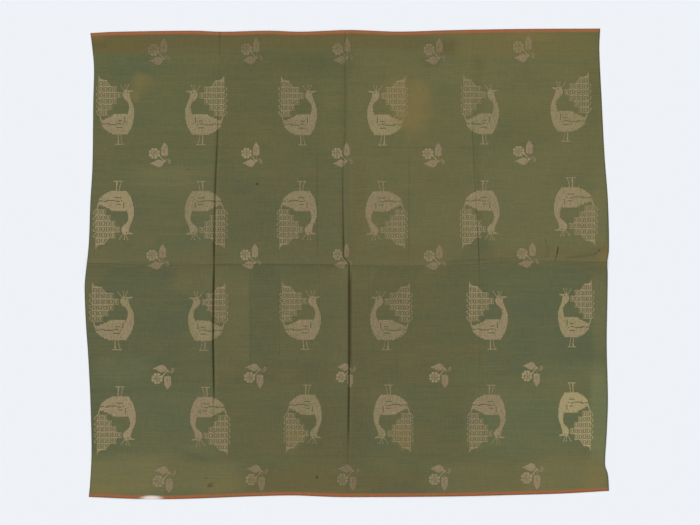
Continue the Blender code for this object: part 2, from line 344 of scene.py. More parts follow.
PATCHES = named_rows(
    Patch,
    # The panels between the folds, each with a tone of its own
    (-0.380, 0.228, 0.124, 0.232, 0.03, 0.45, 1.03, 0.03),
    (-0.126, 0.228, 0.131, 0.232, 0.03, 0.56, 0.97, 0.03),
    (0.128, 0.228, 0.126, 0.232, 0.03, 0.70, 1.07, 0.08),
    (0.380, 0.228, 0.126, 0.224, 0.04, 0.65, 1.13, 0.03),
    (-0.380, -0.228, 0.124, 0.226, 0.04, 0.27, 0.96, 0.00),
    (-0.221, -0.120, 0.035, 0.118, 0.03, 0.78, 1.02, 0.00),
    (-0.158, -0.110, 0.030, 0.108, 0.10, 0.50, 0.91, 0.00),
    (-0.062, -0.115, 0.066, 0.112, 0.04, 0.68, 0.95, 0.00),
    (0.020, -0.115, 0.024, 0.112, 0.06, 0.78, 0.93, 0.02),
    (0.105, -0.115, 0.062, 0.112, 0.06, 0.66, 0.92, 0.00),
    (0.215, -0.115, 0.055, 0.112, 0.20, 0.55, 0.94, 0.00),
    (0.375, -0.110, 0.118, 0.106, 0.06, 0.12, 1.03, 0.00),
    # Smaller patches on them
    (-0.418, 0.385, 0.060, 0.030, 0.50, 0.15, 1.03, 0.00),
    (-0.352, 0.298, 0.050, 0.040, 0.60, 0.36, 1.06, 0.00),
    (-0.100, 0.388, 0.110, 0.022, 0.50, 0.48, 0.91, 0.10),
    (-0.031, 0.298, 0.020, 0.070, 0.50, 0.55, 1.05, 0.00),
    (0.196, 0.363, 0.060, 0.035, 0.50, 0.50, 1.15, 0.12),
    (0.345, 0.259, 0.060, 0.045, 0.50, 0.60, 1.05, 0.00),
    (0.473, 0.327, 0.022, 0.070, 0.40, 0.68, 1.05, 0.00),
    (-0.352, 0.165, 0.070, 0.024, 0.50, 0.68, 1.16, 0.00),
    (-0.178, 0.085, 0.050, 0.060, 0.50, 0.55, 0.92, 0.00),
    (0.024, 0.114, 0.016, 0.100, 0.30, 0.80, 1.02, 0.35),
    (0.171, 0.152, 0.045, 0.030, 0.50, 0.80, 1.02, 0.05),
    (0.171, 0.070, 0.050, 0.050, 0.50, 0.88, 1.08, 0.08),
    (0.350, 0.114, 0.060, 0.070, 0.50, 0.70, 1.13, 0.00),
    (0.488, 0.094, 0.016, 0.080, 0.40, 0.78, 1.22, 0.00),
    (-0.483, 0.215, 0.014, 0.080, 0.40, 0.36, 1.01, 0.00),
    (-0.476, 0.015, 0.022, 0.016, 0.50, 0.80, 1.04, 0.45),
    (-0.330, 0.020, 0.150, 0.018, 0.50, 0.55, 1.02, 0.05),
    (-0.310, -0.030, 0.030, 0.030, 0.50, 0.80, 1.02, 0.10),
    (0.090, 0.020, 0.100, 0.022, 0.50, 0.85, 1.02, 0.35),
    (0.340, 0.017, 0.090, 0.010, 0.40, 0.90, 1.04, 0.20),
    (0.455, 0.015, 0.050, 0.012, 0.40, 0.85, 1.05, 0.25),
    (0.495, 0.017, 0.014, 0.022, 0.50, 0.90, 1.12, 0.95),
    (-0.436, -0.209, 0.060, 0.030, 0.40, 0.25, 1.11, 0.00),
    (-0.304, -0.215, 0.040, 0.030, 0.40, 0.28, 0.96, 0.00),
    (-0.221, -0.225, 0.036, 0.020, 0.30, 0.80, 0.94, 0.00),
    (-0.100, -0.212, 0.110, 0.024, 0.40, 0.62, 0.90, 0.00),
    (0.083, -0.205, 0.080, 0.030, 0.40, 0.85, 0.91, 0.00),
    (0.262, -0.212, 0.060, 0.024, 0.40, 0.56, 1.03, 0.00),
    (0.432, -0.215, 0.065, 0.028, 0.40, 0.26, 1.15, 0.00),
    (-0.357, -0.310, 0.120, 0.075, 0.30, 0.26, 1.07, 0.00),
    (-0.165, -0.315, 0.090, 0.080, 0.30, 0.66, 0.95, 0.00),
    (-0.020, -0.315, 0.080, 0.080, 0.30, 0.66, 0.89, 0.00),
    (0.150, -0.308, 0.100, 0.080, 0.30, 0.54, 0.97, 0.00),
    (0.360, -0.305, 0.120, 0.080, 0.30, 0.26, 1.17, 0.00),
    (0.488, -0.305, 0.018, 0.110, 0.30, 0.24, 1.46, 0.00),
    (0.489, -0.100, 0.016, 0.080, 0.40, 0.50, 1.18, 0.00),
    # The bands beside the selvedges, browned where the folded stack lay open
    (-0.430, -0.412, 0.100, 0.045, 0.40, 0.70, 1.27, 0.15),
    (-0.270, -0.415, 0.080, 0.035, 0.40, 0.75, 1.19, 0.20),
    (-0.090, -0.422, 0.110, 0.030, 0.40, 0.80, 0.97, 0.45),
    (0.083, -0.424, 0.090, 0.028, 0.40, 0.70, 0.95, 0.30),
    (0.267, -0.418, 0.110, 0.035, 0.40, 0.68, 1.11, 0.15),
    (0.417, -0.412, 0.080, 0.040, 0.40, 0.68, 1.25, 0.15),
    (0.482, -0.414, 0.024, 0.036, 0.40, 0.80, 1.36, 0.50),
    (-0.429, 0.434, 0.080, 0.028, 0.40, 0.60, 0.96, 0.95),
    (-0.279, 0.434, 0.100, 0.022, 0.50, 0.60, 0.94, 0.60),
    (-0.091, 0.436, 0.120, 0.018, 0.50, 0.60, 0.96, 0.85),
    (0.083, 0.434, 0.090, 0.020, 0.50, 0.60, 1.00, 0.75),
    (0.350, 0.430, 0.158, 0.028, 0.50, 0.60, 1.19, 0.65),
    (0.192, 0.421, 0.032, 0.016, 0.50, 0.62, 0.94, 0.62),
    (0.162, 0.389, 0.018, 0.009, 0.60, 0.45, 0.96, 0.10),
    (0.240, 0.418, 0.028, 0.020, 0.50, 0.60, 1.20, 0.60),
    (-0.283, -0.356, 0.032, 0.012, 0.60, 0.40, 1.11, 0.00),
    (-0.482, 0.436, 0.022, 0.024, 0.50, 0.90, 0.89, 1.00),
)

# A spot of colour: the ochre stains are spilt or rubbed spots; dye is how strongly the spot's colour takes
Stain = namedtuple("Stain", "x y half_length half_height dye")

OCHRE_STAINS = named_rows(
    Stain,
    (-0.401, 0.356, 0.017, 0.017, 0.48), (-0.386, 0.355, 0.013, 0.011, 0.28),
    (-0.4095, 0.326, 0.010, 0.013, 0.50), (-0.4050, 0.341, 0.015, 0.020, 0.26),
    (0.138, 0.322, 0.030, 0.040, 0.56), (0.124, 0.290, 0.040, 0.050, 0.55),
    (0.105, 0.345, 0.035, 0.020, 0.40), (0.098, 0.328, 0.036, 0.030, 0.42),
    (0.355, 0.440, 0.050, 0.012, 0.25), (-0.482, 0.440, 0.018, 0.012, 0.26),
    (0.480, -0.424, 0.014, 0.010, 0.25), (-0.471, -0.438, 0.024, 0.010, 0.32),
    (0.495, 0.014, 0.012, 0.012, 0.30), (-0.102, -0.334, 0.022, 0.026, 0.34),
    (0.108, -0.334, 0.022, 0.028, 0.40),
)
# Small dark spots, in the same dark colour as the painted crease shade
DARK_SPOTS = named_rows(
    Stain,
    (-0.1738, 0.1544, 0.0030, 0.0026, 0.95), (-0.2646, -0.4290, 0.0068, 0.0040, 0.52),
    (-0.2715, -0.4148, 0.0045, 0.0022, 0.35), (-0.0578, -0.4126, 0.0030, 0.0040, 0.60),
    (0.4886, 0.0267, 0.0026, 0.0020, 0.70), (-0.3060, 0.1820, 0.0030, 0.0020, 0.30),
    (0.1040, -0.0720, 0.0024, 0.0020, 0.35), (-0.1500, 0.2350, 0.0024, 0.0016, 0.30),
)
# Fine creases that have no height of their own worth speaking of, drawn as lines of painted shade
FineCrease = namedtuple("FineCrease", "x0 y0 x1 y1 half_width soil")

FINE_CREASES = named_rows(
    FineCrease,
    (0.4092, 0.0335, 0.4062, 0.0170, 0.0015, 0.90), (0.4068, 0.0200, 0.4015, 0.0010, 0.0010, 0.62),
    (0.3835, 0.0510, 0.3862, 0.0360, 0.0013, 0.34), (0.3900, 0.0360, 0.3880, 0.0120, 0.0026, 0.16),
    (0.0072, -0.0050, 0.0070, -0.2100, 0.0036, 0.52), (0.4890, 0.0265, 0.4780, 0.0170, 0.0022, 0.32),
    (0.4810, 0.0185, 0.4200, 0.0105, 0.0036, 0.20), (0.4893, 0.0300, 0.4885, -0.0500, 0.0012, 0.12),
    (-0.2705, -0.4335, -0.2590, -0.4230, 0.0024, 0.35),
    (-0.1872, -0.0050, -0.1865, -0.2350, 0.0012, 0.16),
    (-0.1312, -0.0030, -0.1300, -0.2000, 0.0012, 0.14),
    (-0.0574, 0.2300, -0.0570, 0.0000, 0.0012, 0.26),
    (-0.0529, -0.0060, -0.0535, -0.1200, 0.0012, 0.14),
    (0.0425, -0.0060, 0.0430, -0.1000, 0.0012, 0.14), (0.0956, -0.1300, 0.0960, -0.2350, 0.0012, 0.12),
    (0.1212, 0.2300, 0.1195, 0.0000, 0.0012, 0.20), (0.1840, 0.0040, 0.3400, 0.0110, 0.0030, 0.16),
    (-0.4450, 0.0030, -0.2800, 0.0000, 0.0040, 0.14), (-0.4300, 0.2260, -0.1000, 0.2230, 0.0014, 0.08),
    (-0.0050, 0.2240, 0.2400, 0.2250, 0.0014, 0.10), (0.0100, -0.2400, 0.2500, -0.2360, 0.0014, 0.10),
    (-0.3180, -0.3640, -0.2680, -0.3810, 0.0050, 0.09),
)


def dye_tones(x, y):
    """(brown, light, yellow) of the ground at points."""
    tones = np.empty((3, len(x)))
    tones[:] = np.array([[0.55], [1.0], [0.0]])
    for patch in PATCHES:
        across, up = (x - patch.x) / patch.half_length, (y - patch.y) / patch.half_height
        away = (across**4 + up**4) ** 0.25
        share = 1 - smooth_step(away, 1 - 1.2 * patch.fade, 1 + 0.8 * patch.fade)
        tones += share * (np.array([[patch.brown], [patch.light], [patch.yellow]]) - tones)
    return tones


def fold_crease_shade(x, y):
    """Painted shade along the folds' lines, for the shadow in their slits and nicks."""
    soil = np.zeros_like(x)
    for fold, off, distance in fold_places(x, y):
        half_width = straight(fold.soil_width, distance) / 2
        dirt = straight(fold.soil, distance)
        soil = np.maximum(soil, dirt * (1 - smooth_step(off, 0.35 * half_width, 1.5 * half_width)))
    return soil


# --- The figures' charts, in millimetres, drawn facing right and upright ---

# One feather of the tail, in chart squares: an eye inside its frame
FEATHER = (
    ".########.",
    "##########",
    "##......##",
    "#..####..#",
    "#.######.#",
    "#..####..#",
    "#..####..#",
    "#..####..#",
    "#.######.#",
    "#..####..#",
    "##......##",
    "##########",
)
FEATHERS_IN_ROW = (3, 4, 5, 4, 3, 2)  # from the tail's top


def in_ellipse(x, y, middle_x, middle_y, half_width, half_height):
    return ((x - middle_x) / half_width) ** 2 + ((y - middle_y) / half_height) ** 2 < 1


def in_stroke(x, y, points, width):
    """Whether cells lie on a stroke through points, of one width or of one at each point."""
    widths = width if hasattr(width, "__len__") else [width] * len(points)
    drawn = np.zeros(x.shape, bool)
    for start, end, wide, narrow in zip(points, points[1:], widths, widths[1:]):
        off, t = distance_to_run(x, y, *start, *end)
        drawn |= off < (wide + (narrow - wide) * t) / 2
    return drawn


def in_outline(x, y, corners):
    """Whether cells lie inside a closed outline of straight sides."""
    inside = np.zeros(x.shape, bool)
    for (x0, y0), (x1, y1) in zip(corners, (*corners[1:], corners[0])):
        crosses = (y0 > y) != (y1 > y)
        if y0 != y1:
            inside ^= crosses & (x < x0 + (y - y0) * (x1 - x0) / (y1 - y0))
    return inside


def curve_through(points, pieces=8):
    """Points along a smooth curve through the given ones."""
    out = []
    for n in range(len(points) - 1):
        p0 = np.array(points[max(n - 1, 0)], float)
        p1, p2 = np.array(points[n], float), np.array(points[n + 1], float)
        p3 = np.array(points[min(n + 2, len(points) - 1)], float)
        for t in np.arange(pieces) / pieces:
            bend = (
                (2 * p1)
                + (p2 - p0) * t
                + (2 * p0 - 5 * p1 + 4 * p2 - p3) * t**2
                + (3 * p1 - p0 - 3 * p2 + p3) * t**3
            )
            out.append(tuple(bend / 2))
    return [*out, tuple(points[-1])]


TAIL_LEFT, TAIL_TOP = -34.2, 58.9
FEATHER_WIDE, FEATHER_HIGH = 9.5, 11.4


def peacock_tail(x, y):
    """The fanned tail: rows of feathers with an eye in each, a slanted shoulder, a spike and barbs."""
    step = FEATHER_WIDE / len(FEATHER[0])
    chart = np.array([[square == "#" for square in row] for row in FEATHER])
    column = np.floor((x - TAIL_LEFT) / step + 0.01).astype(int)
    row = np.floor((TAIL_TOP - y) / step + 0.01).astype(int)
    feather_row, feather = row // len(FEATHER), column // len(FEATHER[0])
    inside = (column >= 0) & (row >= 0) & (feather_row < len(FEATHERS_IN_ROW))
    in_row = np.array(FEATHERS_IN_ROW)[np.clip(feather_row, 0, len(FEATHERS_IN_ROW) - 1)]
    inside &= feather < in_row
    (x0, y0) = (TAIL_LEFT + 1.6 * FEATHER_WIDE, TAIL_TOP)
    (x1, y1) = (TAIL_LEFT + 2.6 * FEATHER_WIDE, TAIL_TOP - FEATHER_HIGH)
    inside &= ((x - x0) * (y1 - y0) - (y - y0) * (x1 - x0) > 0) | (y < y1)
    drawn = inside & chart[row % len(FEATHER), column % len(FEATHER[0])]
    drawn |= in_stroke(x, y, [(x0, y0), (x1, y1)], 1.9)
    drawn |= in_stroke(x, y, [(TAIL_LEFT, TAIL_TOP), (TAIL_LEFT, TAIL_TOP - 6 * FEATHER_HIGH)], 1.8)
    for n in range(1, 6):
        foot = TAIL_TOP - (n + 0.95) * FEATHER_HIGH
        curl = ((0, 0), (-3.4, 3.0), (-5.6, 6.2), (-3.8, 9.2))
        barb = [(TAIL_LEFT + out, foot + up) for out, up in curl]
        drawn |= in_stroke(x, y, barb, (1.9, 1.4, 1.4, 1.9))
    spike = (
        (-35.2, 58.0), (-35.0, 70.0), (-33.0, 65.5), (-30.0, 62.0), (-24.0, 60.0), (-18.0, 59.0),
        (-18.0, 57.0),
    )  # fmt: skip
    drawn |= in_outline(x, y, spike)
    stem = [(-31.5, TAIL_TOP - 6 * FEATHER_HIGH), (-31.0, -15.0), (-28.5, -20.0)]
    return drawn | in_stroke(x, y, stem, (2.0, 2.2, 4.0))


BODY_OUTLINE = (
    (-30, -24), (-27, -18.5), (-22, -16), (-16, -13.6), (-9, -10.8), (-4, -7.6), (0, -5), (5, -4.6),
    (22, -4.8), (25, -8), (28, -2), (30, 7), (29, 13), (25, 19), (20, 23), (17, 27), (16, 33), (19, 38),
    (24, 40.5), (29, 39), (31, 33), (32, 27), (34, 21), (37, 15), (39.5, 8), (41.5, 0), (41, -10),
    (39, -20), (36.5, -30), (33, -36), (29, -42), (25, -46), (12, -47), (0, -46.4), (-8, -43.6),
    (-16, -39.8), (-22, -35.6), (-27, -30.2), (-30, -24),
)  # fmt: skip


def peacock_body(x, y):
    """Boat-shaped body, upright neck and head with its crest, in steps of a few picks, and two legs."""
    stepped = (np.floor(y / 2.85) + 0.5) * 2.85
    drawn = in_outline(x, stepped, curve_through(BODY_OUTLINE, 4))
    drawn |= in_stroke(x, y, [(27.0, 36.4), (33.0, 38.0), (38.6, 38.7)], (5.0, 3.2, 1.7))
    for root_x, tip_x, tip_y in ((20.0, 12.0, 49.2), (21.8, 22.2, 49.4), (23.6, 28.8, 50.2)):
        drawn |= in_stroke(x, y, [(root_x, 38.5), (tip_x, tip_y)], 1.1)
        drawn |= in_ellipse(x, y, tip_x, tip_y, 1.2, 1.2)
    drawn |= in_stroke(x, y, [(6.6, -45.0), (6.9, -64.0)], 2.6)
    drawn |= in_stroke(x, y, [(2.0, -64.8), (11.2, -64.8)], 2.4)
    drawn |= in_stroke(x, y, [(12.4, -45.0), (13.2, -54.0), (16.4, -65.0)], 1.5)
    return drawn | in_stroke(x, y, [(13.8, -65.0), (18.4, -65.0)], 2.0)


def peacock_wing(x, y):
    """The ground left showing in the body: eye, wing lines and quills."""
    left_out = in_stroke(x, y, [(20.8, -12.5), (21.2, -22.0)], 2.0)
    quills = (
        (7.5, 14.5, -19.3), (6.0, 12.5, -24.6), (3.5, 15.5, -32.3), (-13.0, 3.5, -27.0),
        (-18.5, -12.5, -24.6), (-28.5, -22.0, -25.8),
    )  # fmt: skip
    for start, end, height in quills:
        left_out |= in_stroke(x, y, [(start, height), (end, height)], 2.0)
    left_out |= in_ellipse(x, y, 17.0, -26.0, 1.2, 1.6)
    return left_out | in_ellipse(x, y, 26.2, 36.4, 1.4, 1.4)


def peacock(x, y):
    return peacock_tail(x, y) | peacock_body(x, y) & ~peacock_wing(x, y)


def in_tail(x, y):
    """Whether places lie in the tail's part of the chart."""
    return (x < TAIL_LEFT + 5 * FEATHER_WIDE) & (y > TAIL_TOP - 6.1 * FEATHER_HIGH) & (x < 0.35 * y + 8)


def peacock_pale(x, y):
    """Where a peacock's floats are longer and paler: dashes in its tail's bars, its barbs and crest."""
    in_bar = np.abs((TAIL_TOP - y + FEATHER_HIGH / 2) % FEATHER_HIGH - FEATHER_HIGH / 2) < 1.1
    in_dash = np.abs((x - TAIL_LEFT) % FEATHER_WIDE - FEATHER_WIDE / 2) < 0.32 * FEATHER_WIDE
    crest = (y > 40.5) & (x > 8)
    barbs = (x < TAIL_LEFT - 1.2) & (y > -13)
    return in_tail(x, y) * in_bar * (0.30 + 0.60 * in_dash) + 0.6 * barbs + 0.1 * crest


def peacock_shade(x, y):
    """How dark its floats are against the rest: the tail's are bound closer than the body's."""
    return 1.0 - 0.09 * in_tail(x, y)


def sprig(x, y):
    """A blossom of eight petals, an upright leaf, a broad leaf and a bud, on one forked stem."""
    across, up = x + 10.8, y - 2.0
    turn, away = np.arctan2(up, across), np.hypot(across, up)
    lobes = np.abs(np.sin(4 * turn))
    petals = (away < 9.2 + 2.2 * lobes**0.7) & ~((away > 6.6) & (away * lobes < 2.1))
    petals &= ~((away > 5.3) & (away < 6.3)) & ~((away > 2.0) & (away < 3.0))
    rounding = 6.6 * np.clip((23.6 - y) / 10.5, 0, 1) ** 0.7
    leaf = (np.abs(x - 9.4) < np.minimum(rounding, 4.4 + 1.1 * (y + 3.2))) & (y > -3.2)
    leaf &= ~in_stroke(x, y, [(9.4, 3.0), (9.4, 8.0)], 0.9)
    broad_leaf = (
        (-20, -18), (-13, -15.5), (-7, -12), (-2.5, -10), (2, -11.5), (9, -16), (4.5, -23.5), (-1, -26),
        (-7, -24), (-14, -20.5),
    )  # fmt: skip
    drawn = petals | leaf | in_outline(x, y, broad_leaf)
    drawn |= in_stroke(x, y, [(-2.0, -1.0), (9.8, -15.4)], 2.2)
    drawn |= in_stroke(x, y, [(9.8, -3.0), (10.2, -14.0)], 1.5)
    drawn |= in_stroke(x, y, [(9.8, -15.2), (13.5, -11.2), (16.8, -9.3), (19.4, -10.8)], 1.5)
    return drawn | in_ellipse(x, y, 19.2, -14.8, 2.7, 4.2) & ~in_ellipse(x, y, 19.0, -15.2, 1.0, 2.0)


def sprig_pale(x, y):
    """Where a sprig's floats are paler: its petals, its stem and the rim of its leaf."""
    away = np.hypot(x + 10.8, y - 2.0)
    petals = (away > 5.8) & (away < 12)
    stem = in_stroke(x, y, [(-3.0, 0.0), (10.5, -15.8)], 3.2)
    return np.maximum(0.65 * petals, 0.75 * stem) - 0.5 * (away < 5.8)


# Where the figures' charts lie, as (x, y, wide, tone): tone is how light a figure's silk is.
# These numbers weren't chosen by hand: x, y, wide and each row's high came from a fitting program,
# and tone from measured colours. This is an open fault.
FigureRow = namedtuple("FigureRow", "upright high places")

PEACOCK_ROWS = (
    FigureRow(True, 1.0, (
        (-0.4484, 0.2957, 0.905, 1.04), (-0.2719, 0.2950, 1.00, 1.00), (-0.0952, 0.2944, 0.915, 0.92),
        (0.0793, 0.2943, 0.97, 1.06), (0.2570, 0.2965, 0.905, 0.94), (0.4338, 0.3015, 0.97, 1.00),
    )),
    FigureRow(False, 0.983, (
        (-0.4519, 0.0961, 0.975, 1.16), (-0.2716, 0.0956, 1.025, 0.91), (-0.0970, 0.0959, 0.955, 0.94),
        (0.0774, 0.0952, 1.005, 0.93), (0.2565, 0.0967, 0.945, 1.00), (0.4435, 0.1030, 1.05, 1.06),
    )),
    FigureRow(True, 0.98, (
        (-0.4555, -0.1031, 1.07, 1.03), (-0.2679, -0.1043, 0.95, 0.94), (-0.0908, -0.1023, 0.995, 0.92),
        (0.0867, -0.1029, 1.01, 0.84), (0.2710, -0.1020, 0.985, 1.06), (0.4440, -0.0973, 0.86, 1.14),
    )),
    FigureRow(False, 0.983, (
        (-0.4489, -0.3015, 0.99, 1.12), (-0.2638, -0.3027, 0.955, 0.97), (-0.0857, -0.2982, 0.905, 0.90),
        (0.0906, -0.2983, 0.95, 0.94), (0.2694, -0.2983, 0.925, 0.99), (0.4431, -0.2938, 0.83, 1.38),
    )),
)  # fmt: skip
SPRIG_ROWS = (
    FigureRow(True, 1.05, (
        (-0.3631, 0.4115, 0.98, 0.73), (-0.1839, 0.4127, 0.94, 0.71), (-0.0077, 0.4130, 0.91, 0.71),
        (0.1697, 0.4121, 0.97, 0.79), (0.3423, 0.4172, 0.945, 0.92),
    )),
    FigureRow(True, 0.96, (
        (-0.3618, 0.2115, 0.98, 1.00), (-0.1840, 0.2121, 0.92, 1.00), (-0.0090, 0.2117, 0.92, 0.91),
        (0.1676, 0.2110, 0.98, 0.95), (0.3437, 0.2157, 1.015, 0.97),
    )),
    FigureRow(True, 0.985, (
        (-0.3658, 0.0143, 1.0, 0.89), (-0.1863, 0.0153, 0.91, 0.92), (-0.0086, 0.0156, 0.845, 0.83),
        (0.1700, 0.0134, 0.97, 0.86), (0.3498, 0.0178, 0.985, 0.87),
    )),
    FigureRow(False, 0.965, (
        (-0.3562, -0.2202, 1.0, 1.03), (-0.1774, -0.2178, 0.985, 0.88), (-0.0018, -0.2171, 0.86, 0.90),
        (0.1806, -0.2175, 0.97, 0.92), (0.3585, -0.2150, 0.93, 1.07),
    )),
    FigureRow(False, 1.035, (
        (-0.3531, -0.4188, 1.03, 0.89), (-0.1742, -0.4156, 0.985, 0.81), (0.0025, -0.4153, 0.99, 0.73),
        (0.1799, -0.4152, 0.97, 0.92), (0.3585, -0.4124, 0.995, 1.05),
    )),
)  # fmt: skip


# --- Sizes and colours that a user would change ---


def length_property(name, description, default):
    return FloatProperty(name=name, description=description, default=default, unit="LENGTH")


def colour_property(name, description, default):
    return FloatVectorProperty(
        name=name, description=description, default=default, size=3, min=0, max=1, subtype="COLOR"
    )


class BrocadeSizes(bpy.types.PropertyGroup):
    loom_width: length_property("Loom width", "From selvedge to selvedge", 0.900)
    cut_length: length_property("Cut length", "Along the warp, end to end", 0.990)
    thickness: length_property("Cloth thickness", "Of the silk, measured straight up", 0.0008)
    selvedge: length_property("Selvedge", "Width of each orange selvedge", 0.0064)
    chart_step: length_property("Chart step", "Side of one square of the figures' charts", 0.00095)
    float_height: length_property("Float height", "How far the gold floats stand above the cloth", 0.00034)


class BrocadeColours(bpy.types.PropertyGroup):
    green: colour_property("Green silk", "The ground where its green threads show", (0.088, 0.101, 0.0435))
    brown: colour_property("Brown silk", "The ground where its brown threads show", (0.124, 0.111, 0.0405))
    aged: colour_property("Aged silk", "The ground where it has yellowed", (0.127, 0.099, 0.0305))
    gold: colour_property("Gold silk", "The figures' floats", (0.250, 0.203, 0.092))
    rose: colour_property("Rose silk", "Floats that have faded pinker", (0.258, 0.192, 0.102))
    cream: colour_property("Cream silk", "The figures' longer floats", (0.310, 0.260, 0.118))
    orange: colour_property("Orange silk", "The selvedges", (0.330, 0.105, 0.035))
    rust: colour_property("Rust silk", "The selvedges' outermost threads", (0.170, 0.055, 0.028))
    ochre: colour_property("Ochre stain", "Spilt and rubbed spots", (0.206, 0.150, 0.048))
    # Crease shade: the colour of the painted shade in the folds and fine creases, which the dark spots take
    # too
    soil: colour_property("Soil", "Dirt in the folds and dark spots", (0.030, 0.021, 0.004))


class BrocadeStage(bpy.types.PropertyGroup):
    floor: colour_property("Floor", "The pale surface under the cloth", (0.852, 0.879, 0.923))
    picture_length: length_property("Picture length", "How much of the surface the camera takes in", 1.3545)
    camera_height: length_property("Camera height", "Of the camera above the cloth", 3.2)
    softbox_power: FloatProperty(
        name="Softbox strength", description="Of the wide distant lamp, in watts a square metre", default=1.80
    )
    sky: FloatProperty(name="Fill", description="Strength of the even light all round", default=0.62)


# --- Small helpers for modelling ---


def deselect_everything():
    if bpy.context.object and bpy.context.object.mode != "OBJECT":
        bpy.ops.object.mode_set(mode="OBJECT")
    bpy.ops.object.select_all(action="DESELECT")


def make_active(piece):
    deselect_everything()
    piece.select_set(True)
    bpy.context.view_layer.objects.active = piece


def square_grid(name, columns, rows):
    """A grid primitive of one metre each way, with this many cells."""
    deselect_everything()
    bpy.ops.mesh.primitive_grid_add(x_subdivisions=columns, y_subdivisions=rows, size=1.0, location=(0, 0, 0))
    piece = bpy.context.active_object
    piece.name = piece.data.name = name
    return piece


def points_of(mesh):
    places = np.empty(len(mesh.vertices) * 3, np.float32)
    mesh.vertices.foreach_get("co", places)
    return places.reshape(-1, 3).astype(float)


def set_points(mesh, places):
    mesh.vertices.foreach_set("co", places.astype(np.float32).ravel())
    mesh.update()


def extrude_up(piece, distance):
    """Extrudes the whole flat piece along Z, so that it closes."""
    make_active(piece)
    bpy.ops.object.mode_set(mode="EDIT")
    bpy.ops.mesh.select_all(action="SELECT")
    bpy.ops.mesh.extrude_region_move(TRANSFORM_OT_translate={"value": (0, 0, distance)})
    bpy.ops.mesh.select_all(action="SELECT")
    bpy.ops.mesh.normals_make_consistent(inside=False)
    bpy.ops.object.mode_set(mode="OBJECT")


def write_attribute(mesh, name, values):
    layer = mesh.attributes.get(name) or mesh.attributes.new(name, "FLOAT", "POINT")
    layer.data.foreach_set("value", np.asarray(values, np.float32).ravel())


def read_attribute(mesh, name):
    values = np.empty(len(mesh.vertices), np.float32)
    mesh.attributes[name].data.foreach_get("value", values)
    return values


def write_tones_and_shade(mesh):
    """Stores at each point the tones, stains and painted fold shade that the silks' materials read."""
    x, y, _ = points_of(mesh).T
    for name, tone in zip(("brown", "light", "yellow"), dye_tones(x, y)):
        write_attribute(mesh, name, tone)
    write_attribute(mesh, "soil", fold_crease_shade(x, y))


def corner_facts(mesh):
    """For each face corner: its point, and its face's normal."""
    point = np.empty(len(mesh.loops), np.int32)
    mesh.loops.foreach_get("vertex_index", point)
    normals = np.empty(len(mesh.polygons) * 3, np.float32)
    mesh.polygons.foreach_get("normal", normals)
    sides = np.empty(len(mesh.polygons), np.int32)
    mesh.polygons.foreach_get("loop_total", sides)
    return point, np.repeat(normals.reshape(-1, 3), sides, axis=0)


def write_map(mesh, places):
    """Gives the mesh its own map, from one place for each face corner."""
    layer = mesh.uv_layers.get(BAKE_MAP) or mesh.uv_layers.new(name=BAKE_MAP)
    layer.uv.foreach_set("vector", places.astype(np.float32).ravel())


# --- Materials ---


GROUND_GLINT, FLOAT_GLINT = (0.30, 0.30, 0.30), (0.40, 0.40, 0.40)
WARMTH = (1.0, 1.0, 0.87)
BLEACH = (0.80, 0.73, 0.64)
# The painted shade along the cut ends
PAINTED_END_SHADE = (0.040, 0.048, 0.024)
BLEACHED_SPOT = Stain(-0.3780, -0.4532, 0.022, 0.0052, 1.0)
SILK_SPECULAR, SILK_SHEEN = 0.22, 0.10


